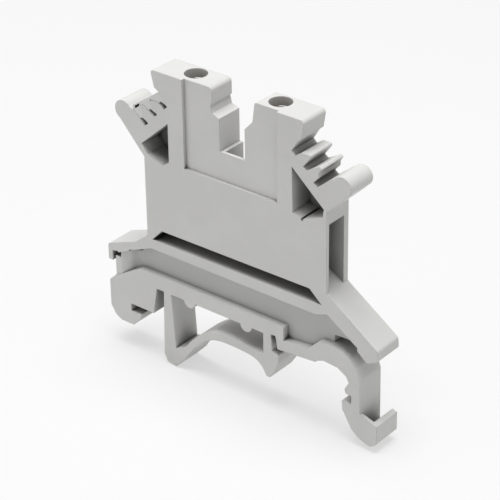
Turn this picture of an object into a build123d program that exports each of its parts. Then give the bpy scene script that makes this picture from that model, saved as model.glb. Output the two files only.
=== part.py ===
from build123d import *
import os

os.makedirs("parts", exist_ok=True)

# Screw terminal block for a 35 mm top-hat rail. X runs along the block from one wire entry to the other,
# Y is the block's width along the rail with the closed face at -Y, and Z points away from the rail.
# The origin is the middle of the rail, in the plane of its two flanges.

# Rail that the foot fits
rail_width = 35.0
rail_sheet = 1.0
rail_depth = 7.5
rail_channel = 25.0
rail_play = 0.1
leg_play = 0.4

# Block
block_width = 4.2
tower_top = 34.4
left_reach = 3.5
right_reach = 3.8
left_wall = -14.2
right_wall = 13.8
left_tower_out = -12.7
left_tower_in = -3.55
right_tower_in = 2.95
right_tower_out = 10.5
window_left = -2.45
window_right = 1.4
window_floor = 26.4
barb_round = 0.12
ridge_round = 0.2
leg_round = 0.3
tower_round = 0.35
arm_round = 0.5
jaw_round = 1.2

# Depths from the closed face
panel_depth = 0.45
face_wall = 0.4
band_depth = 1.0
back_band_depth = 0.6
pocket_depth = 3.3

# Marker grooves, mirrored about one plane of the block
groove_mid = -0.75
groove_reach = 9.45
groove_drop = 4.25
bead_radius = 1.3

# Current bar
bar_bottom = 19.2
bar_thickness = 1.5
bar_width = 2.5
bar_overhang = 0.7
bridge_x = -0.5
bridge_hole_radius = 1.05
bridge_well = 2.8

# Clamp sleeves
clamp_left = -7.6
clamp_right = 5.2
sleeve_length = 4.4
sleeve_sheet = 0.3
sleeve_floor = 0.7
sleeve_head = 2.2
sleeve_bend = 0.5
wire_gap = 2.4
travel = 2.3

# Clamp screws, thread M2.5
thread_radius = 1.25
head_radius = 1.55
head_height = 1.9
driver_slot_width = 0.55
driver_slot_depth = 0.9
hole_radius = 1.45
cap_thickness = 1.2

# Wire entries
funnel_bottom = 12.9
funnel_top = 22.0
funnel_width = 2.9
funnel_face_wall = 0.45
throat_bottom = 17.0
throat_top = 19.1
throat_length = 1.2

# Clearances
slide_play = 0.05
thread_play = 0.05
chamber_play = 0.1
stop_play = 0.3
snap_play = 0.03

# Levels worked out from the sizes above
face_y = -block_width / 2
open_y = block_width / 2
cavity_y = face_y + panel_depth + face_wall
sleeve_width = bar_width + 2 * (sleeve_sheet + slide_play)
screw_y = cavity_y + slide_play + sleeve_width / 2
bar_top = bar_bottom + bar_thickness
sleeve_floor_top = bar_bottom - wire_gap
sleeve_bottom = sleeve_floor_top - sleeve_floor
sleeve_head_bottom = bar_top + chamber_play
sleeve_top = sleeve_head_bottom + sleeve_head
chamber_bottom = sleeve_bottom - chamber_play
chamber_top = sleeve_top + travel + stop_play
cap_bottom = tower_top - cap_thickness
screw_top = cap_bottom - slide_play
half_chamber = sleeve_length / 2 + chamber_play
channel_radius = head_radius + slide_play
half_rail = rail_width / 2 + rail_play
left_end = -(half_rail + left_reach)
right_end = half_rail + right_reach
tooth_top = -(rail_sheet + rail_play)
groove_level = tower_top - groove_drop
clamp_places = [clamp_left, clamp_right]


def groove_points(points, side):
    """Place points given from the first valley of a marker groove, on the side +1 (right) or -1 (left)."""
    return [(groove_mid + side * (groove_reach + out), groove_level + up) for out, up in points]


def rail_points(points, side):
    """Place points given outward from one edge of the rail, on the side +1 (right) or -1 (left)."""
    return [(side * (half_rail + out), z) for out, z in points]


def prism(points, near, far, mode=Mode.ADD):
    """Extrude a closed outline of X and Z points between two depths of the block."""
    with BuildSketch(Plane.XZ.offset(-near)) as outline:
        with BuildLine():
            Polyline(*points, close=True)
        make_face()
    extrude(outline.sketch, amount=near - far, mode=mode)


def round_corners(part, points, radius):
    """Round the edges across the block's width that pass through the given X and Z points."""
    corners = [
        edge for edge in part.edges().filter_by(Axis.Y)
        if any(abs(edge.center().X - x) + abs(edge.center().Z - z) < 0.02 for x, z in points)
    ]
    fillet(corners, radius)


# Saw-tooth profile of a marker groove: three valleys, two snap ridges and the broad lip
groove_profile = [
    (0.9, 1.45), (0, 0), (0.5, -0.5),
    (1.4, 0.15), (2.8, 0.15), (2.5, -0.4), (1.65, -1.55), (2.15, -1.9),
    (4.0, -0.85), (4.3, -1.15), (3.9, -1.75), (3.9, -2.3), (3.15, -3.15), (3.7, -3.55),
    (5.65, -1.95), (6.4, -1.6), (7.9, -3.55),
]
bead_place = (7.2, -2.5)
right_groove = groove_points(groove_profile + [(7.5, -4.05)], 1)
left_groove = groove_points(groove_profile, -1)[::-1]

# Arms that slope from the walls down to the ends, over the rail foot
arm_end = 7.7025
arm_under = [(0.75, 7.2), (-3.25, 7.0), (-3.25, 6.0)]
knee = rail_points([(-4.85, 5.9), (-6.5, 4.3)], 1)
crossbar_bottom = 3.85
crossbar_top = 5.8
step_x = 7.35
right_arm = (
    [(right_wall, funnel_bottom), (right_end - 0.1, arm_end), (right_end, 6.3)]
    + rail_points([(2.2, 5.55), (0.8, 6.7)] + arm_under, 1)
)
left_arm = (
    rail_points([(2.4, 3.45), (2.4, 6.3), (1.5, 6.3), (1.9, 7.1), (2.8, 6.9), (2.8, 5.5)], -1)
    + [(left_end, 5.5), (left_end, 7.75), (-16.4, 9.5), (left_wall, 11.2)]
)

body_outline = (
    [(left_wall, 22.3)] + left_groove
    + [(left_tower_out + 0.55, tower_top - 2.2), (left_tower_out, tower_top), (left_tower_in, tower_top)]
    + [(left_tower_in, tower_top - 2.1), (left_tower_in - 0.25, tower_top - 2.3)]
    + [(left_tower_in, tower_top - 3.3), (window_left, tower_top - 3.7), (window_left, window_floor)]
    + [(window_right, window_floor), (window_right, tower_top - 3.9), (right_tower_in - 0.35, tower_top - 2.6)]
    + [(right_tower_in, tower_top), (right_tower_out, tower_top), (right_tower_out - 0.4, tower_top - 2.4)]
    + right_groove + [(right_wall, 23.8)] + right_arm + knee
    + [(step_x, 3.95), (step_x, crossbar_bottom), (-13.05, crossbar_bottom), (-15.8, crossbar_top)] + left_arm
)

# Sunk band between the rim of the body and the foot, and the pocket outlines
band_outline = (
    rail_points([(2.5, 3.3)], -1) + [(-15.8, crossbar_top), (step_x, crossbar_top), (step_x, 3.95)]
    + knee[::-1] + rail_points(arm_under[::-1], 1) + [(right_wall + 0.1, 10.1), (right_wall - 1.6, 9.5)]
    + [(left_wall + 0.45, 9.5), (left_wall - 1.8, 8.5)] + rail_points([(2.5, 6.6)], -1)
)
trough_outline = [(-13.4, 10.9), (-11.8, 12.6), (11.3, 12.75), (13.1, 11.1)]
right_triangle = [(8.7, 28.1), (8.8, 22.1), (10.2, 21.7), (13.2, 22.9), (13.35, 24.0)]
left_triangle = [(-10.2, 27.9), (-10.2, 22.7), (-11.3, 21.9), (-13.7, 22.8), (-14.55, 24.0)]
triangle_rib = [(10.3, 21.6), (10.75, 21.6), (12.7, 23.9), (12.35, 24.2)]
rib_drop = 0.8
arm_notch = [(-17.6, 7.95), (-16.0, 8.5), (-16.0, 8.0), (-17.2, 7.6)]

# Rail foot: a springy jaw on the right, a fixed hook on the left
jaw_tooth = [
    (-2.1, 3.3), (-0.8, 2.55), (-0.4, 1.75), (-1.0, 0.75), (-0.85, rail_play), (0, rail_play), (0, tooth_top),
    (-1.4, tooth_top), (-1.3, -2.3), (0.05, -4.6), (1.1, -5.45), (2.8, -6.05), (right_reach, -5.4),
    (right_reach, -2.85), (1.3, -2.05),
]
jaw_bow = [(1.25, 2.7), (0.6, 4.2), (-0.4, 5.3), (-1.6, 5.9)]
jaw_outline = (
    [(6.4, 2.35)] + rail_points([(-5.4, 2.8), (-5.15, 3.1), (-4.2, 3.45)] + jaw_tooth + jaw_bow, 1)
    + [rail_points(arm_under, 1)[-1]] + knee + [(step_x, 3.95), (step_x, 4.3), (6.1, 4.3)]
)
hook_tooth = [
    (0, 0), (0, tooth_top), (-1.7, tooth_top), (-1.7, -1.7), (-0.3, -3.1), (1.8, -3.1), (2.7, -2.6),
    (left_reach, -1.4), (left_reach, 2.4), (2.4, 3.45),
]
hook_outline = (
    [(-13.05, crossbar_bottom), (-13.7, 0)] + rail_points(hook_tooth, -1)
    + [(-15.8, crossbar_top), (-13.05, crossbar_top)]
)
driver_pocket = rail_points([(1.3, -1.9), (3.1, -1.9), (3.1, -4.9), (1.3, -4.6)], 1)
rail_wall_x = -(rail_channel / 2 - leg_play)
toe_bottom = 0.8 - rail_depth
left_leg = [
    (-11.85, 4.0), (rail_wall_x, toe_bottom + 1.3), (rail_wall_x + 0.5, toe_bottom + 0.25),
    (rail_wall_x + 1.9, toe_bottom), (-8.65, -5.1), (-10.1, -3.9), (-10.65, 4.0),
]
right_leg = [
    (4.2, 4.0), (4.2, 0.5), (4.4, -1.75), (4.65, -2.2), (5.25, -2.2), (6.05, -0.95), (6.55, 0.4),
    (6.55, 1.45), (5.55, 1.75), (5.4, 4.0),
]
leg_slot = [(5.4, 3.5), (6.15, 3.5), (6.1, 4.15), (5.4, 4.1)]
arch_under = [(-8.65, -5.1), (-6.3, -2.0), (-4.1, -0.4), (0.3, 0.0), (3.3, -0.55), (4.4, -1.75)]
arch_over = [(4.2, 0.9), (0.35, 1.85), (-2.6, 2.0), (-5.2, 1.4), (-7.15, -0.75), (-8.75, -3.1), (-10.1, -3.9)]
arch_root = [(5.1, -1.2), (5.1, 0.7)]
stud_radius = 0.9
stud_places = [-7.6, 1.5]

# Rounded corners of the outline
rounded_corners = [
    (barb_round, [(4.0, -0.85), (4.3, -1.15)], []),
    (ridge_round, [(1.4, 0.15), (2.8, 0.15)], []),
    (tower_round, [], [(left_tower_out, tower_top), (right_tower_in, tower_top), right_arm[3], (left_end, 2.4)]),
    (arm_round, [], [(left_tower_in, tower_top), (right_tower_out, tower_top), (left_end, 7.75)]),
    (arm_round, [], right_arm[1:3] + rail_points(jaw_tooth[:2] + jaw_tooth[11:13], 1)),
    (jaw_round, [], rail_points(jaw_bow, 1)),
    (arm_round, [], rail_points(hook_tooth[5:8], -1)),
    (leg_round, [], [(rail_wall_x, toe_bottom + 1.3), (rail_wall_x + 0.5, toe_bottom + 0.25), (-8.65, -5.1)]),
    (leg_round, [], [(4.65, -2.2), (5.25, -2.2), (6.55, 0.4), (6.55, 1.45)]),
]

# Hollows cored from the open side to keep the walls even
core_pockets = [
    [(-9.6, 13.9), (-4.2, 13.9), (-4.2, 15.0), (-9.6, 15.0)],
    [(-3.2, 13.9), (1.6, 13.9), (1.6, 18.0), (-3.2, 18.0)],
    [(2.6, 13.9), (8.4, 13.9), (7.6, 15.0), (2.6, 15.0)],
]
core_floor = 0.9

with BuildPart() as housing:
    with BuildSketch(Plane.XZ.offset(-face_y)):
        with BuildLine():
            Polyline(*body_outline, close=True)
        make_face()
        with BuildLine():
            Polyline(*jaw_outline, close=True)
        make_face()
        with BuildLine():
            Polyline(*hook_outline, close=True)
        make_face()
        with BuildLine():
            Polyline(*left_leg, close=True)
        make_face()
        with BuildLine():
            Polyline(*right_leg, close=True)
        make_face()
        with BuildLine():
            Spline(*arch_under)
            Polyline(arch_under[-1], *arch_root, arch_over[0])
            Spline(*arch_over)
            Line(arch_over[-1], arch_under[0])
        make_face()
        with Locations(*[(x, crossbar_bottom + 0.05) for x in stud_places]):
            Circle(stud_radius)
        with Locations(*groove_points([bead_place], -1), *groove_points([bead_place], 1)):
            Circle(bead_radius)
        with BuildLine():
            Polyline(*leg_slot, close=True)
        make_face(mode=Mode.SUBTRACT)
    extrude(amount=-block_width)
    for radius, in_grooves, elsewhere in rounded_corners:
        corners = groove_points(in_grooves, -1) + groove_points(in_grooves, 1) + elsewhere
        round_corners(housing, corners, radius)

    # Sunk panel across the towers, sunk bands, and the blind pockets in the closed face
    prism([(-7.75, 22.6), (6.5, 22.6), (6.5, tower_top), (-7.75, tower_top)], face_y, face_y + panel_depth,
          Mode.SUBTRACT)
    prism(band_outline, face_y, face_y + band_depth, Mode.SUBTRACT)
    prism(band_outline, open_y - back_band_depth, open_y, Mode.SUBTRACT)
    prism(trough_outline, face_y, face_y + pocket_depth, Mode.SUBTRACT)
    prism(arm_notch, face_y, face_y + pocket_depth, Mode.SUBTRACT)
    for triangle in (left_triangle, right_triangle):
        prism(triangle, face_y, face_y + pocket_depth, Mode.SUBTRACT)
    prism(triangle_rib, face_y + rib_drop, face_y + pocket_depth)
    prism(driver_pocket, face_y + 0.5, open_y, Mode.SUBTRACT)

    # Wire funnels
    for wall, clamp, side in ((left_wall, clamp_left, -1), (right_wall, clamp_right, 1)):
        throat = clamp + side * (half_chamber - 0.1)
        funnel = [
            (wall + side * 0.2, funnel_bottom), (wall, funnel_bottom), (throat, throat_bottom),
            (throat, throat_top), (throat + side * throat_length, throat_top), (wall, funnel_top),
            (wall + side * 0.2, funnel_top),
        ]
        prism(funnel, face_y + funnel_face_wall, face_y + funnel_face_wall + funnel_width, Mode.SUBTRACT)

    # Clamp chambers and screw channels, open towards +Y, and the round holes in the tops
    for x in clamp_places:
        prism([(x - half_chamber, chamber_bottom), (x + half_chamber, chamber_bottom),
               (x + half_chamber, chamber_top), (x - half_chamber, chamber_top)],
              cavity_y, open_y, Mode.SUBTRACT)
        with BuildSketch(Plane.XY.offset(chamber_top)) as channel:
            with Locations((x, screw_y)):
                Circle(channel_radius)
                Rectangle(2 * channel_radius, open_y - screw_y, align=(Align.CENTER, Align.MIN))
        extrude(channel.sketch, amount=cap_bottom - chamber_top, mode=Mode.SUBTRACT)
        with BuildSketch(Plane.XY.offset(cap_bottom)) as hole:
            with Locations((x, screw_y)):
                Circle(hole_radius)
        extrude(hole.sketch, amount=cap_thickness, mode=Mode.SUBTRACT)

    # Seat of the current bar and the well for a bridge screw
    bar_left = clamp_left - half_chamber - bar_overhang
    bar_right = clamp_right + half_chamber + bar_overhang
    bar_face = screw_y - bar_width / 2
    prism([(bar_left - slide_play, bar_bottom - slide_play), (bar_right + slide_play, bar_bottom - slide_play),
           (bar_right + slide_play, bar_top + slide_play), (bar_left - slide_play, bar_top + slide_play)],
          bar_face - slide_play, open_y, Mode.SUBTRACT)
    prism([(bridge_x - bridge_well / 2, bar_top), (bridge_x + bridge_well / 2, bar_top),
           (bridge_x + bridge_well / 2, window_floor), (bridge_x - bridge_well / 2, window_floor)],
          cavity_y, open_y, Mode.SUBTRACT)
    for pocket in core_pockets:
        prism(pocket, face_y + panel_depth + core_floor, open_y, Mode.SUBTRACT)

housing.part.label = "housing"
export_step(housing.part, "parts/housing.step")

with BuildPart() as current_bar:
    with BuildSketch(Plane.XZ.offset(-bar_face)):
        with Locations(((bar_left + bar_right) / 2, (bar_bottom + bar_top) / 2)):
            Rectangle(bar_right - bar_left, bar_thickness)
    extrude(amount=-bar_width)
    fillet(current_bar.edges().filter_by(Axis.Z), 0.4)
    with Locations(Plane((bridge_x, screw_y, bar_top))):
        Hole(bridge_hole_radius)

current_bar.part.label = "current_bar"
export_step(current_bar.part, "parts/current_bar.step")

# Each clamp sleeve is one folded strip: a floor, two side walls and a doubled head with the thread
sleeves = {}
for side, x in zip(("left", "right"), clamp_places):
    with BuildPart() as sleeve:
        with BuildSketch(Plane.YZ.offset(x - sleeve_length / 2)) as strip:
            with Locations((screw_y, (sleeve_bottom + sleeve_top) / 2)):
                RectangleRounded(sleeve_width, sleeve_top - sleeve_bottom, sleeve_bend)
            with Locations((screw_y, (sleeve_floor_top + sleeve_head_bottom) / 2)):
                Rectangle(sleeve_width - 2 * sleeve_sheet, sleeve_head_bottom - sleeve_floor_top,
                          mode=Mode.SUBTRACT)
            with Locations((screw_y + sleeve_width / 2, sleeve_top)):
                Rectangle(2 * sleeve_sheet, 2 * sleeve_sheet, mode=Mode.SUBTRACT)
        extrude(amount=sleeve_length)
        with Locations(Plane((x, screw_y, sleeve_top))):
            Hole(thread_radius + thread_play, depth=sleeve_head)
        with Locations(*[Plane((x + shift, screw_y, sleeve_floor_top)) for shift in (-1.2, -0.4, 0.4, 1.2)]):
            Box(0.3, sleeve_width - 2 * sleeve_sheet, 0.3, mode=Mode.SUBTRACT)
    sleeve.part.label = "clamp_cage_" + side
    sleeves[side] = sleeve

export_step(sleeves["left"].part, "parts/clamp_cage_left.step")
export_step(sleeves["right"].part, "parts/clamp_cage_right.step")

# Slotted clamp screws, captive under the caps of the towers
screws = {}
for side, x in zip(("left", "right"), clamp_places):
    with BuildPart() as screw:
        with BuildSketch(Plane.XZ.offset(-screw_y)):
            with BuildLine():
                Polyline(
                    (x, bar_top + 0.03), (x + thread_radius - 0.35, bar_top + 0.03),
                    (x + thread_radius, bar_top + 0.4), (x + thread_radius, screw_top - head_height),
                    (x + head_radius, screw_top - head_height), (x + head_radius, screw_top - 0.2),
                    (x + head_radius - 0.2, screw_top), (x, screw_top), close=True,
                )
            make_face()
        revolve(axis=Axis((x, screw_y, 0), (0, 0, 1)))
        with Locations(Plane((x, screw_y, screw_top))):
            Box(2 * head_radius, driver_slot_width, 2 * driver_slot_depth, mode=Mode.SUBTRACT)
    screw.part.label = "clamp_screw_" + side
    screws[side] = screw

export_step(screws["left"].part, "parts/clamp_screw_left.step")
export_step(screws["right"].part, "parts/clamp_screw_right.step")

# Blank marker tag snapped over the ridges of the left groove, with gaps left at the valley floors
tag_width = 4.0
tag_round = 0.25
tag_end = (5.62, -1.35)
tag_blank = [(1.15, 1.66), tag_end, (5.62, -3.0), (3.7, -4.5), (-0.6, -1.0), (-0.6, 1.66)]
tag_seat = [(1.95, 2.05)] + groove_profile[:-1] + [(6.4, -6.0), (-1.0, -6.0), (-1.0, 2.05)]
tag_gaps = [
    [(0, 0), (0.5, -0.5), (1.31, 0.08), (1.08, 0.41)],
    [(1.65, -1.55), (2.15, -1.9), (3.02, -1.41), (2.82, -1.06)],
    [(3.15, -3.15), (3.7, -3.55), (4.47, -2.92), (4.22, -2.61)],
]
tag_slot = [(4.5, -0.85), (5.35, -1.42), (5.25, -1.74), (4.62, -1.25)]

with BuildPart() as marker_tag:
    with BuildSketch(Plane.XZ.offset(tag_width / 2)):
        with BuildLine():
            Polyline(*groove_points(tag_blank, -1), close=True)
        make_face()
        with BuildSketch(mode=Mode.PRIVATE) as seat:
            with BuildLine():
                Polyline(*groove_points(tag_seat, -1), close=True)
            make_face()
            offset(amount=snap_play, kind=Kind.INTERSECTION)
        add(seat.sketch, mode=Mode.SUBTRACT)
        for opening in tag_gaps + [tag_slot]:
            with BuildLine():
                Polyline(*groove_points(opening, -1), close=True)
            make_face(mode=Mode.SUBTRACT)
    extrude(amount=-tag_width)
    round_corners(marker_tag, groove_points([tag_end], -1), tag_round)

marker_tag.part.label = "marker_tag"
export_step(marker_tag.part, "parts/marker_tag.step")
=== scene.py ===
"""Screw terminal block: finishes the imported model's pieces and sets the light and camera of the photograph.

The housing is a carved copy of its solid, the two screws are turned with their threads, and the other pieces
keep their own meshes. Lengths are in metres where nothing else is said.
"""

import logging
import math
from dataclasses import dataclass
from enum import Enum
from typing import Any, Mapping, Sequence, Union

import bmesh
import bpy
from mathutils import Matrix, Vector


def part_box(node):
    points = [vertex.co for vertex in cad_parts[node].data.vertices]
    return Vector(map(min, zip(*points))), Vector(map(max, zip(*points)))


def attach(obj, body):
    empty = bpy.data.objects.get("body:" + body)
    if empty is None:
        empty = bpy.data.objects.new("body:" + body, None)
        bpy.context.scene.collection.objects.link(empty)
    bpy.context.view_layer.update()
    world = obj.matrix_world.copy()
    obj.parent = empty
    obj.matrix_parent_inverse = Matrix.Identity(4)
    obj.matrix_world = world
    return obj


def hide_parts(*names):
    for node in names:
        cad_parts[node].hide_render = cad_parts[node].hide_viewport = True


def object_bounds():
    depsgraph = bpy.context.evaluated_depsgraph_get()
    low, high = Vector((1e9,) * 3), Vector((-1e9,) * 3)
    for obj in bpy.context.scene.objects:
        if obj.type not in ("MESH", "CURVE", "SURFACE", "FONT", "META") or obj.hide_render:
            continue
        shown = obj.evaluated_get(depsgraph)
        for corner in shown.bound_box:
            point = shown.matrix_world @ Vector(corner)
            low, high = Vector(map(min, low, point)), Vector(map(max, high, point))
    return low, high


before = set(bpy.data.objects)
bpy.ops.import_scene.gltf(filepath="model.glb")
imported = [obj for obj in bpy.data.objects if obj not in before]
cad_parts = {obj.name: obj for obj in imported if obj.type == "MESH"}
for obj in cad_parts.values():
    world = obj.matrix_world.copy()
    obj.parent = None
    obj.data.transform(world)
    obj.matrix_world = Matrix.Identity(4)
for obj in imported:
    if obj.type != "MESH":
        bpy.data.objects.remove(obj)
cad_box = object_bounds()

log = logging.getLogger("terminal_block")

Color = tuple[float, float, float]
Spot = tuple[float, float, float]
Point = tuple[float, float]
Stretch = tuple[float, float]
SocketKey = Union[str, int]

MM = 0.001
WHITE = (1.0, 1.0, 1.0, 1.0)
UNSTRETCHED = (1.0, 1.0, 1.0)
SHARP_ANGLE = math.radians(30)
SIDE_FACING = (0.8, 0.95)
EDGE_SAMPLES = 6
SHADE_SAMPLES = 8


class Side(Enum):
    """The two ends of the block, named as the nodes name them."""

    LEFT = "left"
    RIGHT = "right"


class Signal:
    """A shader node's output that takes part in Python expressions on single numbers."""

    def __init__(self, shader: "Shader", node: bpy.types.Node, output: SocketKey) -> None:
        """Wrap one output of a node.

        Args:
            shader: The shader that the node belongs to.
            node: The node.
            output: The output's name or place.
        """
        self.shader = shader
        self.node = node
        self.output = output

    @property
    def socket(self) -> bpy.types.NodeSocket:
        """The wrapped socket."""
        return self.node.outputs[self.output]

    def _join(self, operation: str, first: Any, second: Any) -> "Signal":
        """Add a Math node on two values and return its output."""
        return self.shader.node("ShaderNodeMath", {"operation": operation}, {0: first, 1: second}, "Value")

    def __add__(self, other: Any) -> "Signal":
        """Sum."""
        return self._join("ADD", self, other)

    def __radd__(self, other: Any) -> "Signal":
        """Sum, number first."""
        return self._join("ADD", other, self)

    def __rsub__(self, other: Any) -> "Signal":
        """Difference, number first."""
        return self._join("SUBTRACT", other, self)

    def __mul__(self, other: Any) -> "Signal":
        """Product."""
        return self._join("MULTIPLY", self, other)

    def __rmul__(self, other: Any) -> "Signal":
        """Product, number first."""
        return self._join("MULTIPLY", other, self)

    def __abs__(self) -> "Signal":
        """Size without its sign."""
        return self.shader.node("ShaderNodeMath", {"operation": "ABSOLUTE"}, {0: self}, "Value")


class Shader:
    """The node tree of a material or world under construction."""

    def __init__(self, owner: Union[bpy.types.Material, bpy.types.World]) -> None:
        """Start an empty tree.

        Args:
            owner: The material or world that the tree belongs to.
        """
        self.owner = owner
        owner.use_nodes = True
        self.tree = owner.node_tree
        self.tree.nodes.clear()

    def node(
        self, kind: str, settings: Mapping[str, Any], inputs: Mapping[SocketKey, Any], output: SocketKey
    ) -> Signal:
        """Add a node.

        Args:
            kind: The node's type.
            settings: Its own settings, set before its sockets.
            inputs: Values or signals for its sockets, by name or place.
            output: The output that the returned signal wraps.

        Returns:
            The wrapped output.
        """
        made = self.tree.nodes.new(kind)
        for key, value in settings.items():
            setattr(made, key, value)
        for key, value in inputs.items():
            if isinstance(value, Signal):
                self.tree.links.new(value.socket, made.inputs[key])
            else:
                made.inputs[key].default_value = value
        return Signal(self, made, output)

    def place(self, stretch: Spot = UNSTRETCHED) -> Signal:
        """Position in the block's frame, stretched along its axes."""
        spot = self.node("ShaderNodeTexCoord", {}, {}, "Object")
        return self.node("ShaderNodeVectorMath", {"operation": "MULTIPLY"}, {0: spot, 1: stretch}, "Vector")

    def noise(self, size: float, detail: float, stretch: Spot = UNSTRETCHED) -> Signal:
        """Soft noise from 0 to 1 whose blobs are about `size` across."""
        inputs = {"Vector": self.place(stretch), "Scale": 1 / size, "Detail": detail}
        return self.node("ShaderNodeTexNoise", {}, inputs, "Fac")

    def ramp(self, value: Signal, low: float, high: float) -> Signal:
        """Spread the stretch from low to high over 0 to 1, smoothly. Where low is the larger, it falls."""
        inputs = {"Value": value, "From Min": low, "From Max": high}
        return self.node("ShaderNodeMapRange", {"interpolation_type": "SMOOTHSTEP"}, inputs, "Result")

    def mix(self, share: Signal, first: Any, second: Any) -> Signal:
        """Blend two colours.

        Args:
            share: How much of the second colour shows.
            first: A colour or signal.
            second: A colour or signal.

        Returns:
            The blended colour.
        """
        colors = [value if isinstance(value, Signal) else (*value, 1.0) for value in (first, second)]
        return self.node("ShaderNodeMix", {"data_type": "RGBA"}, {0: share, 6: colors[0], 7: colors[1]}, 2)

    def soft_edges(self, radius: float) -> Signal:
        """Normals that round every edge by a small radius."""
        return self.node("ShaderNodeBevel", {"samples": EDGE_SAMPLES}, {"Radius": radius}, "Normal")

    def bump(self, height: Signal, depth: float, normal: Signal) -> Signal:
        """Raise the surface by a height signal.

        Args:
            height: The height from 0 to 1.
            depth: How high 1 stands.
            normal: The normals that are raised.

        Returns:
            The new normals.
        """
        inputs = {"Height": height, "Distance": depth, "Strength": 1.0, "Normal": normal}
        return self.node("ShaderNodeBump", {}, inputs, "Normal")

    def sunk(self, start: float, full: float) -> Signal:
        """Where faces across the block's width lie below its sides.

        Args:
            start: The distance from the block's middle plane at which it begins.
            full: The smaller distance from which it is complete.

        Returns:
            The mask, 1 on the sunk faces.
        """
        spot = self.node("ShaderNodeTexCoord", {}, {}, "Object")
        normal = Signal(self, spot.node, "Normal")
        across = self.node("ShaderNodeSeparateXYZ", {}, {0: spot}, "Y")
        facing = self.node("ShaderNodeSeparateXYZ", {}, {0: normal}, "Y")
        return self.ramp(abs(facing), *SIDE_FACING) * self.ramp(abs(across), start, full)

    def crevice(self, reach: float) -> Signal:
        """How far a spot is closed in by surfaces within its reach, from 0 in the open to 1."""
        settings = {"samples": SHADE_SAMPLES, "only_local": True}
        return 1 - self.node("ShaderNodeAmbientOcclusion", settings, {"Distance": reach}, "AO")

    def seen(self) -> Signal:
        """1 for what the camera, a gloss or a clear thing sees directly, and 0 for light on its way."""
        ray = self.node("ShaderNodeLightPath", {}, {}, "Is Camera Ray")
        return ray + Signal(self, ray.node, "Is Glossy Ray") + Signal(self, ray.node, "Is Transmission Ray")

    def principled(self, inputs: Mapping[SocketKey, Any]) -> Signal:
        """Add a Principled shader with values or signals for its sockets."""
        return self.node("ShaderNodeBsdfPrincipled", {}, inputs, "BSDF")

    def blend(self, share: Signal, first: Signal, second: Signal) -> Signal:
        """Blend two shaders by the share of the second."""
        return self.node("ShaderNodeMixShader", {}, {0: share, 1: first, 2: second}, 0)

    def close(self, shell: Signal) -> None:
        """Give the tree its output: a surface."""
        kind = "World" if isinstance(self.owner, bpy.types.World) else "Material"
        self.node(f"ShaderNodeOutput{kind}", {}, {"Surface": shell}, 0)


@dataclass(frozen=True)
class MouldedPlastic:
    """Injection-moulded polyamide with a faintly eroded skin.

    A `rise` is the stretch over which a mask goes from 0 to 1, a `share` is how much of its colour shows,
    a `reach` is how near a surface must be to close a spot in, and a `detail` is how fine a noise is.
    """

    name: str
    color: Color
    shadow_color: Color
    band_color: Color
    painted_shade_color: Color
    roughness: float
    skin_size: float
    skin_depth: float
    edge_radius: float
    skin_detail: float = 3.0
    skin_roughness: float = 0.1
    cloud_size: float = 6 * MM
    cloud_detail: float = 3.0
    cloud_rise: Stretch = (0.35, 0.65)
    cloud_share: float = 0.55
    flow_size: float = 1.2 * MM
    flow_detail: float = 2.0
    flow_stretch: Spot = (0.2, 1.0, 1.0)
    flow_share: float = 0.25
    flow_roughness: float = 0.06
    band_rise: Stretch = (1.5 * MM, 1.2 * MM)
    band_share: float = 0.75
    seam_reach: float = 0.8 * MM
    seam_rise: Stretch = (0.3, 0.7)
    seam_share: float = 0.45
    recess_reach: float = 4 * MM
    recess_rise: Stretch = (0.36, 0.86)
    recess_share: float = 0.8
    refraction: float = 1.5
    gloss: float = 0.42

    def material(self) -> bpy.types.Material:
        """Build the plastic: cloudy tint, flow streaks, a darker sunk band, painted shade in seams and
        recesses, and a fine skin.

        Returns:
            The material.
        """
        made = bpy.data.materials.new(self.name)
        shader = Shader(made)
        cloud = shader.ramp(shader.noise(self.cloud_size, self.cloud_detail), *self.cloud_rise)
        flow = shader.noise(self.flow_size, self.flow_detail, self.flow_stretch)
        tint = shader.mix(self.cloud_share * cloud + self.flow_share * flow, self.color, self.shadow_color)
        # The faces of the sunk band take a darker colour.
        band_toned = shader.mix(self.band_share * shader.sunk(*self.band_rise), tint, self.band_color)
        # Painted shade: seams and recesses, found by how closely nearby surfaces close a spot in, are
        # darkened towards a near-black colour.
        seam = shader.ramp(shader.crevice(self.seam_reach), *self.seam_rise)
        recess = shader.ramp(shader.crevice(self.recess_reach), *self.recess_rise)
        shade_painted = shader.mix(self.seam_share * seam + self.recess_share * recess, band_toned, self.painted_shade_color)
        skin = shader.noise(self.skin_size, self.skin_detail)
        shader.close(shader.principled({
            "Base Color": shade_painted,
            "Roughness": self.roughness + self.skin_roughness * skin + self.flow_roughness * flow,
            "Normal": shader.bump(skin, self.skin_depth, shader.soft_edges(self.edge_radius)),
            "IOR": self.refraction,
            "Specular IOR Level": self.gloss,
        }))
        return made


@dataclass(frozen=True)
class PlatedMetal:
    """Plated metal with drawing lines along one axis and a cloudy passivation."""

    name: str
    color: Color
    tarnish_color: Color
    tarnish: float
    roughness: float
    line_stretch: Spot
    line_depth: float
    edge_radius: float
    line_size: float = 0.12 * MM
    line_detail: float = 2.0
    line_roughness: float = 0.12
    cloud_size: float = 0.6 * MM
    cloud_detail: float = 4.0
    cloud_rise: Stretch = (0.3, 0.8)
    cloud_roughness: float = 0.1

    def material(self) -> bpy.types.Material:
        """Build the metal: tarnish clouds and drawing lines that also roughen it.

        Returns:
            The material.
        """
        made = bpy.data.materials.new(self.name)
        shader = Shader(made)
        cloud = shader.ramp(shader.noise(self.cloud_size, self.cloud_detail), *self.cloud_rise)
        lines = shader.noise(self.line_size, self.line_detail, self.line_stretch)
        shader.close(shader.principled({
            "Base Color": shader.mix(self.tarnish * cloud, self.color, self.tarnish_color),
            "Metallic": 1.0,
            "Roughness": self.roughness + self.line_roughness * lines + self.cloud_roughness * cloud,
            "Normal": shader.bump(lines, self.line_depth, shader.soft_edges(self.edge_radius)),
        }))
        return made


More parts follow.
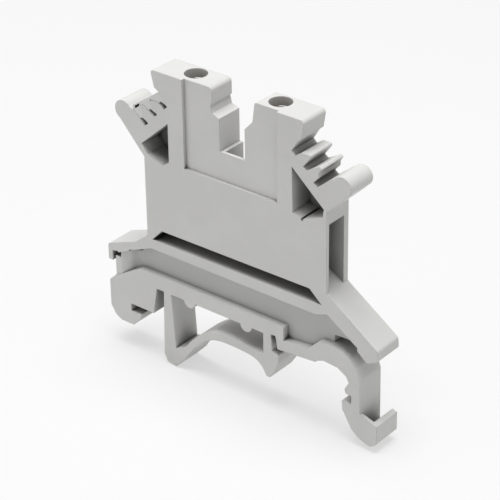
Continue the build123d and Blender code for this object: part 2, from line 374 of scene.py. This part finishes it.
def dress(piece: bpy.types.Object, material: bpy.types.Material) -> None:
    """Give a piece its one material and report it.

    Args:
        piece: The piece.
        material: What it is made of.
    """
    piece.data.materials.clear()
    piece.data.materials.append(material)
    log.info("%s: %d faces of %s", piece.name, len(piece.data.polygons), material.name)


def smooth_run(points: Sequence[Point], steps: int = 6) -> list[Point]:
    """Points of a smooth curve through the given ones.

    Args:
        points: Points that the curve passes through.
        steps: Stretches between two of them.

    Returns:
        The curve's points, ends included.
    """
    padded = [points[0], *points, points[-1]]
    run = [points[0]]
    for before, start, end, after in zip(padded, padded[1:], padded[2:], padded[3:]):
        for step in range(1, steps + 1):
            t = step / steps
            pulls = (-t + 2 * t**2 - t**3, 2 - 5 * t**2 + 3 * t**3, t + 4 * t**2 - 3 * t**3, t**3 - t**2)
            axes = zip(before, start, end, after)
            run.append(tuple(sum(pull * spot for pull, spot in zip(pulls, axis)) / 2 for axis in axes))
    return run


def place_mesh(name: str, work: bmesh.types.BMesh) -> bpy.types.Object:
    """Turn a working mesh into an object of the scene.

    Args:
        name: The object's name.
        work: The working mesh. It is used up.

    Returns:
        The object.
    """
    mesh = bpy.data.meshes.new(name)
    work.to_mesh(mesh)
    work.free()
    placed = bpy.data.objects.new(name, mesh)
    bpy.context.scene.collection.objects.link(placed)
    return placed


def prism(
    name: str, outline: Sequence[Point], near: float, far: float, far_outline: Sequence[Point] = ()
) -> bpy.types.Object:
    """A solid along the block's width.

    Args:
        name: The solid's name.
        outline: Its X and Z corners in millimetres.
        near: The Y of its end towards the closed face.
        far: The Y of its other end.
        far_outline: The corners at that end, where they differ.

    Returns:
        The solid.
    """
    work = bmesh.new()
    near_end, far_end = (
        [work.verts.new((x * MM, y, z * MM)) for x, z in corners]
        for y, corners in ((near, outline), (far, far_outline or outline))
    )
    work.faces.new(near_end)
    work.faces.new(far_end)
    for place in range(len(outline)):
        work.faces.new((near_end[place - 1], near_end[place], far_end[place], far_end[place - 1]))
    bmesh.ops.triangulate(work, faces=work.faces)
    bmesh.ops.recalc_face_normals(work, faces=work.faces)
    return place_mesh(name, work)


def settle(worked: bpy.types.Object) -> None:
    """Make an object's modifiers part of its mesh.

    Args:
        worked: The object.
    """
    bpy.context.view_layer.update()
    whole = bpy.data.meshes.new_from_object(worked.evaluated_get(bpy.context.evaluated_depsgraph_get()))
    worked.modifiers.clear()
    worked.data = whole


def carve(
    blank: bpy.types.Object, cuts: Sequence[bpy.types.Object], fills: Sequence[bpy.types.Object] = ()
) -> None:
    """Cut solids out of a blank and fuse others with it, then shade it smooth between its sharp edges.

    Args:
        blank: The closed mesh that is worked on.
        cuts: Solids taken away. They are used up.
        fills: Solids added. They are used up.
    """
    for operation, tools in (("DIFFERENCE", cuts), ("UNION", fills)):
        for tool in tools:
            step = blank.modifiers.new(tool.name, "BOOLEAN")
            step.operation = operation
            step.solver = "EXACT"
            step.object = tool
    settle(blank)
    for tool in (*cuts, *fills):
        bpy.data.objects.remove(tool)
    for face in blank.data.polygons:
        face.use_smooth = True
    blank.data.set_sharp_from_angle(angle=SHARP_ANGLE)
    even = blank.modifiers.new("even_shading", "WEIGHTED_NORMAL")
    even.keep_sharp = True
    settle(blank)


@dataclass
class Housing:
    """The moulded housing and the blank marker tag in its left groove.

    Outlines are X and Z in millimetres. The other values are in metres.

    Attributes:
        housing_finish: The housing's plastic.
        tag_finish: The tag's plastic.
        arch_strap: The upper curve of the spring arch, from its right leg to its left one.
        arch_top: The Z, in millimetres, up to which all above that curve is cut away.
        ramp_near: The ramp at the left end of the sunk band, at the closed face.
        ramp_far: The same ramp at the bottom of the band, where it reaches further in.
        ramp_drop: How far the ramp's end stays below the closed face.
        band_depth: Depth of the band's bottom.
        pocket_corner: The lower right corner of the right pocket, which holds no rib.
        corner_start: The depth from which that corner is cleared.
        pocket_crease: The narrow groove along the pocket's floor.
        pocket_depth: Depth of the pocket.
        overlap: How far a cut stands out of the block.
        weld: The distance within which corners of the mesh are one.
    """

    housing_finish: MouldedPlastic
    tag_finish: MouldedPlastic
    arch_strap: tuple[Point, ...] = (
        (4.19, 0.93), (2.9, 0.83), (0.7, 1.03), (-1.5, 1.26), (-3.5, 1.11), (-4.5, 0.61), (-6.1, -0.5),
        (-7.5, -1.8), (-8.35, -2.95), (-9.2, -3.6), (-10.05, -3.85),
    )
    arch_top: float = 2.3
    ramp_near: tuple[Point, ...] = ((-20.0, 3.3), (-19.0, 3.8), (-19.0, 7.15), (-19.1, 6.3), (-20.0, 6.3))
    ramp_far: tuple[Point, ...] = ((-20.0, 3.3), (-17.3, 4.7), (-17.3, 7.9), (-19.1, 6.3), (-20.0, 6.3))
    ramp_drop: float = 0.12 * MM
    band_depth: float = 1.0 * MM
    pocket_corner: tuple[Point, ...] = ((10.21, 21.72), (13.19, 22.92), (13.34, 23.98), (11.5, 25.6))
    corner_start: float = 0.5 * MM
    pocket_crease: tuple[Point, ...] = ((9.98, 21.95), (10.42, 21.95), (10.34, 21.45), (10.06, 21.45))
    pocket_depth: float = 3.3 * MM
    overlap: float = 0.5 * MM
    weld: float = 0.0005 * MM

    def _blank(self) -> bpy.types.Object:
        """Copy the housing's own mesh, closed and without the normals stored in it.

        Returns:
            The copy.
        """
        work = bmesh.new()
        work.from_mesh(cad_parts["housing"].data)
        bmesh.ops.remove_doubles(work, verts=work.verts, dist=self.weld)
        blank = place_mesh("housing_moulding", work)
        stored = blank.data.attributes.get("custom_normal")
        if stored:
            blank.data.attributes.remove(stored)
        return blank

    def _cuts(self) -> list[bpy.types.Object]:
        """Make the solids that slim the arch, clear the right pocket's corner and groove its floor.

        Returns:
            The solids.
        """
        low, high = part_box("housing")
        above = [(self.arch_strap[-1][0], self.arch_top), (self.arch_strap[0][0], self.arch_top)]
        relief = smooth_run(self.arch_strap) + above
        pocket_floor = low.y + self.pocket_depth
        return [
            prism("arch_relief", relief, low.y - self.overlap, high.y + self.overlap),
            prism("pocket_corner", self.pocket_corner, low.y + self.corner_start, pocket_floor),
            prism("pocket_crease", self.pocket_crease, low.y - self.overlap, pocket_floor),
        ]

    def _ramp(self) -> bpy.types.Object:
        """Make the solid that closes the sunk band's left end.

        Returns:
            The solid.
        """
        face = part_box("housing")[0].y
        near = face + self.ramp_drop
        return prism("band_ramp", self.ramp_near, near, face + self.band_depth, self.ramp_far)

    def build(self) -> None:
        """Carve the housing and dress both mouldings."""
        moulding = self._blank()
        carve(moulding, cuts=self._cuts(), fills=[self._ramp()])
        dress(moulding, self.housing_finish.material())
        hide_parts("housing")
        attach(moulding, "block")
        dress(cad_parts["marker_tag"], self.tag_finish.material())


@dataclass
class ClampScrew:
    """One slotted clamp screw with its thread.

    Attributes:
        side: The end of the block that it serves.
        material: Its steel.
        pitch: The thread's pitch.
        thread_radius: Radius over the thread's crests.
        thread_depth: Depth of the thread.
        flank_slope: How steeply the flanks rise, in thread depths for half a pitch.
        root_width: How much of that rise lies below the root, which it leaves flat.
        tip_length: Length of the tip's taper.
        tip_taper: How far the tip's root is drawn in.
        head_height: Height of the head.
        slot_width: Width of the driver slot.
        slot_depth: Depth of the driver slot.
        edge: Radius of the head's upper edge.
        edge_steps: Stretches round that edge.
        steps_round: Corners of a ring.
        steps_per_turn: Rings for each turn of the thread.
    """

    side: Side
    material: bpy.types.Material
    pitch: float = 0.45 * MM
    thread_radius: float = 1.25 * MM
    thread_depth: float = 0.27 * MM
    flank_slope: float = 2.6
    root_width: float = 0.8
    tip_length: float = 0.36 * MM
    tip_taper: float = 0.108 * MM
    head_height: float = 1.9 * MM
    slot_width: float = 0.55 * MM
    slot_depth: float = 0.9 * MM
    edge: float = 0.2 * MM
    edge_steps: int = 4
    steps_round: int = 48
    steps_per_turn: int = 8

    @property
    def node(self) -> str:
        """The frame's node that this screw stands for."""
        return f"clamp_screw_{self.side.value}"

    def _thread(self, turn: float, height: float, length: float) -> float:
        """Radius of the threaded shank.

        Args:
            turn: Share of a turn round the axis.
            height: Height above the tip.
            length: Length of the shank.

        Returns:
            The radius.
        """
        phase = (height / self.pitch - turn) % 1.0
        crest = min(1.0, max(0.0, self.flank_slope * abs(2 * phase - 1) - self.root_width))
        start = min(1.0, height / self.pitch)
        runout = min(1.0, max(0.0, (length - height) / self.pitch))
        taper = self.tip_taper * max(0.0, 1 - height / self.tip_length)
        return self.thread_radius - self.thread_depth - taper + self.thread_depth * crest * start * runout

    def _rings(self) -> list[tuple[float, list[float]]]:
        """Work out the rings from the tip to the top of the head.

        Returns:
            Each ring's Z and its radii round the axis.
        """
        low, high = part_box(self.node)
        shank = high.z - low.z - self.head_height
        turns = [step / self.steps_round for step in range(self.steps_round)]
        count = int(shank / self.pitch * self.steps_per_turn)
        rings = []
        for step in range(count + 1):
            height = shank * step / count
            rings.append((low.z + height, [self._thread(turn, height, shank) for turn in turns]))
        head_radius = (high.x - low.x) / 2
        collar = self.edge / 2
        head = [(low.z + shank, head_radius - collar), (low.z + shank + collar, head_radius)]
        for step in range(self.edge_steps + 1):
            angle = math.pi / 2 * step / self.edge_steps
            drop, inset = self.edge * (1 - math.sin(angle)), self.edge * (1 - math.cos(angle))
            head.append((high.z - drop, head_radius - inset))
        return rings + [(z, [radius] * self.steps_round) for z, radius in head]

    def _axis(self) -> Point:
        """X and Y of the screw's axis."""
        low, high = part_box(self.node)
        return (low.x + high.x) / 2, (low.y + high.y) / 2

    def _blank(self) -> bpy.types.Object:
        """Turn the screw without its slot.

        Returns:
            The blank.
        """
        x, y = self._axis()
        work = bmesh.new()
        loops = []
        for z, radii in self._rings():
            angles = [math.tau * step / self.steps_round for step in range(self.steps_round)]
            loops.append([
                work.verts.new((x + radius * math.cos(angle), y + radius * math.sin(angle), z))
                for angle, radius in zip(angles, radii)
            ])
        for lower, upper in zip(loops, loops[1:]):
            for step in range(self.steps_round):
                after = (step + 1) % self.steps_round
                work.faces.new((lower[step], lower[after], upper[after], upper[step]))
        work.faces.new(loops[0][::-1])
        work.faces.new(loops[-1])
        return place_mesh(f"{self.node}_threaded", work)

    def _slot(self) -> bpy.types.Object:
        """Make the bar that cuts the driver slot along X.

        Returns:
            The bar.
        """
        low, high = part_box(self.node)
        middle = Vector((*self._axis(), high.z))
        size = Vector((2 * (high.x - low.x), self.slot_width, 2 * self.slot_depth))
        work = bmesh.new()
        bmesh.ops.create_cube(work, size=1.0, matrix=Matrix.LocRotScale(middle, None, size))
        return place_mesh("slot_cutter", work)

    def build(self) -> None:
        """Turn the screw, cut its slot and set it on its body."""
        screw = self._blank()
        carve(screw, cuts=[self._slot()])
        dress(screw, self.material)
        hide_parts(self.node)
        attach(screw, f"screw_{self.side.value}")


@dataclass
class ClampWorks:
    """The current bar, the folded sleeves and the screws."""

    bar_finish: PlatedMetal
    sleeve_finish: PlatedMetal
    screw_finish: PlatedMetal

    def build(self) -> None:
        """Dress the bar and the sleeves and build both screws."""
        dress(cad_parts["current_bar"], self.bar_finish.material())
        sleeve_metal = self.sleeve_finish.material()
        screw_metal = self.screw_finish.material()
        for side in Side:
            dress(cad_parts[f"clamp_cage_{side.value}"], sleeve_metal)
            ClampScrew(side, screw_metal).build()


@dataclass(frozen=True)
class Lamp:
    """A square lamp. Its power is in watts."""

    name: str
    spot: Spot
    size: float
    power: float

    def hang(self, aim: Spot) -> None:
        """Hang the lamp so that it faces a point.

        Args:
            aim: The point.
        """
        light = bpy.data.lights.new(self.name, "AREA")
        light.size = self.size
        light.energy = self.power
        hung = bpy.data.objects.new(self.name, light)
        hung.location = self.spot
        hung.rotation_euler = (Vector(aim) - Vector(self.spot)).to_track_quat("-Z", "Y").to_euler()
        bpy.context.scene.collection.objects.link(hung)


@dataclass
class Studio:
    """White floor, soft lamps and the world behind them.

    Attributes:
        floor_size: Side of the floor.
        floor_gap: Room between the floor and the block's lowest point.
        floor_color: The floor's own colour, which the block's shadow falls on.
        floor_roughness: The floor's roughness.
        floor_glow: How far the floor near the block is lifted to plain white.
        floor_fade: The distances between which it becomes plain white.
        world_strength: How strongly the world lights the block.
        lamps: The lamps.
        lamp_aim: The point that they face.
    """

    floor_size: float = 3.0
    floor_gap: float = 0.05 * MM
    floor_color: Color = (0.72, 0.72, 0.72)
    floor_roughness: float = 0.9
    floor_glow: float = 0.55
    floor_fade: Stretch = (0.08, 0.5)
    world_strength: float = 0.3
    lamps: tuple[Lamp, ...] = (
        Lamp("key_lamp", (0.01, -0.02, 0.55), size=0.35, power=3.12),
        Lamp("side_lamp", (0.5, 0.05, 0.22), size=0.4, power=0.15),
        Lamp("front_lamp", (-0.26, -0.24, 0.13), size=0.22, power=0.21),
    )
    lamp_aim: Spot = (0.0, 0.0, 0.012)

    def _paint(self) -> bpy.types.Material:
        """Mix the floor's paint: it takes the shadow near the block and is plain white far away.

        Returns:
            The paint.
        """
        paint = bpy.data.materials.new("white_floor")
        shader = Shader(paint)
        color = (*self.floor_color, 1.0)
        matt = shader.principled({"Base Color": color, "Roughness": self.floor_roughness})
        glow = shader.node("ShaderNodeEmission", {}, {"Color": WHITE, "Strength": 1.0}, 0)
        spot = shader.place()
        distance = shader.node("ShaderNodeVectorMath", {"operation": "LENGTH"}, {0: spot}, "Value")
        fade = shader.ramp(distance, *self.floor_fade)
        glowing = self.floor_glow + (1 - self.floor_glow) * fade
        shader.close(shader.blend(glowing * shader.seen(), matt, glow))
        return paint

    def _floor(self) -> None:
        """Lay the floor under the block's lowest point."""
        half = self.floor_size / 2
        level = cad_box[0][2] - self.floor_gap
        corners = ((-half, -half), (half, -half), (half, half), (-half, half))
        work = bmesh.new()
        work.faces.new([work.verts.new((x, y, level)) for x, y in corners])
        floor = place_mesh("floor", work)
        floor.data.materials.append(self._paint())

    def _world(self) -> None:
        """White world: full strength where it is seen, less where it lights the block."""
        world = bpy.data.worlds.new("studio")
        shader = Shader(world)
        dim, full = (
            shader.node("ShaderNodeBackground", {}, {"Color": WHITE, "Strength": strength}, 0)
            for strength in (self.world_strength, 1.0)
        )
        shader.close(shader.blend(shader.seen(), dim, full))
        bpy.context.scene.world = world

    def build(self) -> None:
        """Set the floor, the lamps and the world."""
        self._floor()
        for lamp in self.lamps:
            lamp.hang(self.lamp_aim)
        self._world()
        bpy.context.scene.view_settings.view_transform = "Standard"


@dataclass
class PhotoCamera:
    """The photograph's camera, turned to the block so that it fills the frame.

    Attributes:
        spot: The camera's place.
        aim: The point that it faces.
        lean: How far it leans round its view, in degrees.
        lens: Its focal length in millimetres.
        sensor: Its picture's width in millimetres.
        nearest: How near it still sees.
    """

    spot: Spot = (0.1381, -0.1676, 0.1368)
    aim: Spot = (0.0006, 0.0, 0.0133)
    lean: float = -0.85
    lens: float = 148.0
    sensor: float = 36.0
    nearest: float = 0.01

    def build(self) -> None:
        """Set the camera and make it the scene's own."""
        lens = bpy.data.cameras.new("photo_camera")
        lens.lens = self.lens
        lens.sensor_width = self.sensor
        lens.clip_start = self.nearest
        camera = bpy.data.objects.new("photo_camera", lens)
        look = (Vector(self.aim) - Vector(self.spot)).to_track_quat("-Z", "Y").to_matrix().to_4x4()
        lean = Matrix.Rotation(math.radians(self.lean), 4, "Z")
        camera.matrix_world = Matrix.Translation(self.spot) @ look @ lean
        bpy.context.scene.collection.objects.link(camera)
        bpy.context.scene.camera = camera


HOUSING_PLASTIC = MouldedPlastic(
    name="light_grey_polyamide",
    color=(0.62, 0.617, 0.603),
    shadow_color=(0.575, 0.572, 0.557),
    band_color=(0.43, 0.44, 0.42),
    painted_shade_color=(0.07, 0.068, 0.062),
    roughness=0.41,
    skin_size=0.09 * MM,
    skin_depth=0.004 * MM,
    edge_radius=0.14 * MM,
)
TAG_PLASTIC = MouldedPlastic(
    name="off_white_polyamide",
    color=(0.66, 0.66, 0.64),
    shadow_color=(0.62, 0.62, 0.6),
    band_color=(0.6, 0.6, 0.58),
    painted_shade_color=(0.08, 0.078, 0.07),
    roughness=0.35,
    skin_size=0.07 * MM,
    skin_depth=0.003 * MM,
    edge_radius=0.12 * MM,
)
SCREW_STEEL = PlatedMetal(
    name="zinc_plated_screw_steel",
    color=(0.4, 0.365, 0.315),
    tarnish_color=(0.27, 0.24, 0.2),
    tarnish=0.5,
    roughness=0.34,
    line_stretch=(1.0, 1.0, 6.0),
    line_depth=0.003 * MM,
    edge_radius=0.03 * MM,
)
SLEEVE_STEEL = PlatedMetal(
    name="zinc_plated_sleeve_steel",
    color=(0.66, 0.65, 0.62),
    tarnish_color=(0.5, 0.47, 0.4),
    tarnish=0.3,
    roughness=0.28,
    line_stretch=(1.0, 0.1, 0.1),
    line_depth=0.004 * MM,
    edge_radius=0.06 * MM,
)
BAR_METAL = PlatedMetal(
    name="tinned_bar_copper",
    color=(0.74, 0.72, 0.68),
    tarnish_color=(0.56, 0.53, 0.48),
    tarnish=0.4,
    roughness=0.26,
    line_stretch=(0.08, 1.0, 1.0),
    line_depth=0.003 * MM,
    edge_radius=0.06 * MM,
)


def main() -> None:
    """Build the block's sub-assemblies in order, then the studio and the camera."""
    logging.basicConfig(level=logging.INFO, format="%(name)s: %(message)s")
    Housing(HOUSING_PLASTIC, TAG_PLASTIC).build()
    ClampWorks(BAR_METAL, SLEEVE_STEEL, SCREW_STEEL).build()
    Studio().build()
    PhotoCamera().build()


if __name__ == "__main__":
    main()
